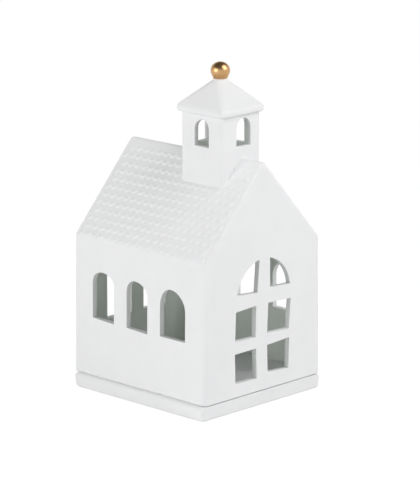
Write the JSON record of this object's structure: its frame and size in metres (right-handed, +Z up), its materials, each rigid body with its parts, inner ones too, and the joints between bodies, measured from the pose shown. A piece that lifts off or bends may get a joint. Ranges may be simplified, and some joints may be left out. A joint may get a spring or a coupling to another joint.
{
  "type": "porcelain tealight house",
  "caption": "White porcelain church-shaped light house: a windowed hood with a tiled roof, bell tower and gold ball that lifts off a base plate holding a tealight.",
  "frame": {"origin": "middle of the base plate's underside", "axes": "+Z up, the front gable with the large window faces -Y, +X to the right of it"},
  "size_m": [0.0898, 0.0966, 0.1778],
  "materials": {
    "bisque": "matte unglazed porcelain",
    "gold_lustre": "glossy gold lustre",
    "cup_metal": "bright drawn foil",
    "wax": "smooth satin wax",
    "wick": "waxed cotton braid"
  },
  "bodies": {
    "base": {"base_plate": "bisque"},
    "house": {"front_gable_wall": "bisque", "rear_gable_wall": "bisque", "left_side_wall": "bisque", "right_side_wall": "bisque", "left_roof_slope": "bisque", "right_roof_slope": "bisque", "bell_tower": "bisque", "tower_cap": "bisque", "finial_ball": "gold_lustre"},
    "tealight": {"tealight_cup": "cup_metal", "wick_sustainer": "cup_metal", "wax": "wax", "wick": "wick"}
  },
  "joints": [
    {"name": "house_lift", "type": "slide", "parent": "base", "child": "house", "axis": [0, 0, 1], "range_m": [0, 0.12]},
    {"name": "tealight_lift", "type": "slide", "parent": "base", "child": "tealight", "axis": [0, 0, 1], "range_m": [0, 0.03]}
  ]
}
